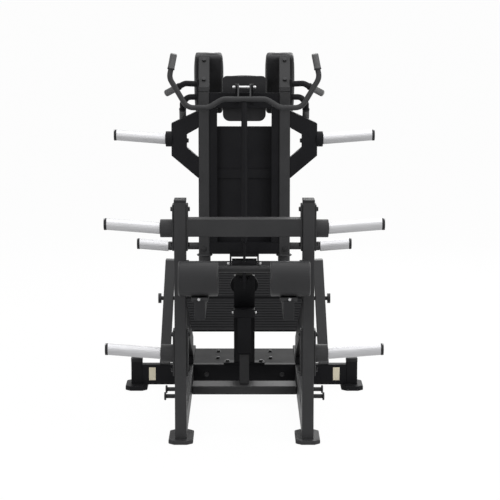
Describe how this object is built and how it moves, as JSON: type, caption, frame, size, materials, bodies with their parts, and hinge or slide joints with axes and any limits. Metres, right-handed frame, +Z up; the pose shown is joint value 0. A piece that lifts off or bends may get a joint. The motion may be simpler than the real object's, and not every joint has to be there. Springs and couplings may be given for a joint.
{
  "type": "leg press machine",
  "caption": "Counterbalanced standing leg press: a plate-loaded lever carries a back pad and shoulder pads over a tilting ribbed footplate.",
  "frame": {"origin": "middle of the machine's length and width, on the floor", "axes": "+X to the right seen from the rear, where the counterweights are; +Y from the counterweights towards the footplate; +Z up"},
  "size_m": [1.213, 1.804, 1.6465],
  "materials": {
    "satin_black_paint": "satin black powder coat with a fine orange-peel texture",
    "weight_paint": "smooth satin black over cast weight",
    "chrome": "satin chromed sleeve with light wear along it",
    "zinc": "bright zinc",
    "black_steel": "blackened steel, slightly oily",
    "black_plastic": "moulded black plastic with a fine texture",
    "rubber": "matt black rubber",
    "vinyl": "grained black vinyl upholstery",
    "blank_plate": "blank cream plate"
  },
  "bodies": {
    "frame": {"upright_left": "satin_black_paint", "upright_right": "satin_black_paint", "storage_plate_upper_left": "satin_black_paint", "storage_plate_upper_right": "satin_black_paint", "storage_plate_lower_left": "satin_black_paint", "storage_plate_lower_right": "satin_black_paint", "storage_horn_upper_left": "chrome", "storage_horn_upper_right": "chrome", "storage_horn_lower_left": "chrome", "storage_horn_lower_right": "chrome", "rear_crossbeam": "satin_black_paint", "base_frame": "satin_black_paint", "low_cross_member": "satin_black_paint", "ground_tube_left": "satin_black_paint", "ground_tube_right": "satin_black_paint", "side_tube_left": "satin_black_paint", "side_tube_right": "satin_black_paint", "step_plate": "satin_black_paint", "centre_column": "satin_black_paint", "stop_buffer": "rubber", "brace_inner_tube": "satin_black_paint", "brace_sleeve": "satin_black_paint", "pivot_axle": "black_steel", "bearing_housing_left": "satin_black_paint", "bearing_housing_right": "satin_black_paint", "mast_left": "satin_black_paint", "mast_right": "satin_black_paint", "footplate_pin_left": "black_steel", "footplate_pin_right": "black_steel"},
    "lever": {"lever_arm_left": "satin_black_paint", "lever_arm_right": "satin_black_paint", "lever_crossbar": "satin_black_paint", "counterweight_left": "weight_paint", "counterweight_right": "weight_paint", "carriage_post_left": "satin_black_paint", "carriage_post_right": "satin_black_paint", "upper_crossmember": "satin_black_paint", "latch_bracket": "satin_black_paint", "latch_bolt": "zinc", "bar_pivot_pin": "zinc", "back_frame": "satin_black_paint", "back_pad": "vinyl", "headrest_plate": "black_plastic", "headrest_pad": "vinyl", "shoulder_arm_left": "satin_black_paint", "shoulder_arm_right": "satin_black_paint", "shoulder_pad_left": "vinyl", "shoulder_pad_right": "vinyl", "horn_bracket_left": "satin_black_paint", "horn_bracket_right": "satin_black_paint", "carriage_horn_upper_left": "chrome", "carriage_horn_upper_right": "chrome", "carriage_horn_lower_left": "chrome", "carriage_horn_lower_right": "chrome", "fixed_handles_left": "satin_black_paint", "fixed_handles_right": "satin_black_paint"},
    "safety_bar": {"safety_bar": "satin_black_paint"},
    "push_rod": {"push_rod": "satin_black_paint"},
    "latch": {"latch_pawl": "satin_black_paint"},
    "footplate": {"footplate": "satin_black_paint"}
  },
  "joints": [
    {"name": "lever_pivot", "type": "hinge", "parent": "frame", "child": "lever", "pos_m": [0, -0.648, 0.752], "axis": [1, 0, 0], "range_deg": [0, 28]},
    {"name": "safety_bar_pivot", "type": "hinge", "parent": "lever", "child": "safety_bar", "pos_m": [0, 0.057, 1.49], "axis": [1, 0, 0], "range_deg": [0, 25]},
    {"name": "push_rod_slide", "type": "slide", "parent": "lever", "child": "push_rod", "axis": [0, 0, 1], "range_m": [-0.025, 0]},
    {"name": "latch_pivot", "type": "hinge", "parent": "lever", "child": "latch", "pos_m": [0, 0.102, 0.663], "axis": [1, 0, 0], "range_deg": [0, 14.5]},
    {"name": "footplate_tilt", "type": "hinge", "parent": "frame", "child": "footplate", "pos_m": [0, 0.65924, 0.403], "axis": [1, 0, 0], "range_deg": [-10, 10]}
  ],
  "couplings": [
    {"joint": "push_rod_slide", "follows": "safety_bar_pivot", "m_per_rad": -0.054},
    {"joint": "latch_pivot", "follows": "safety_bar_pivot", "ratio": 0.56}
  ]
}
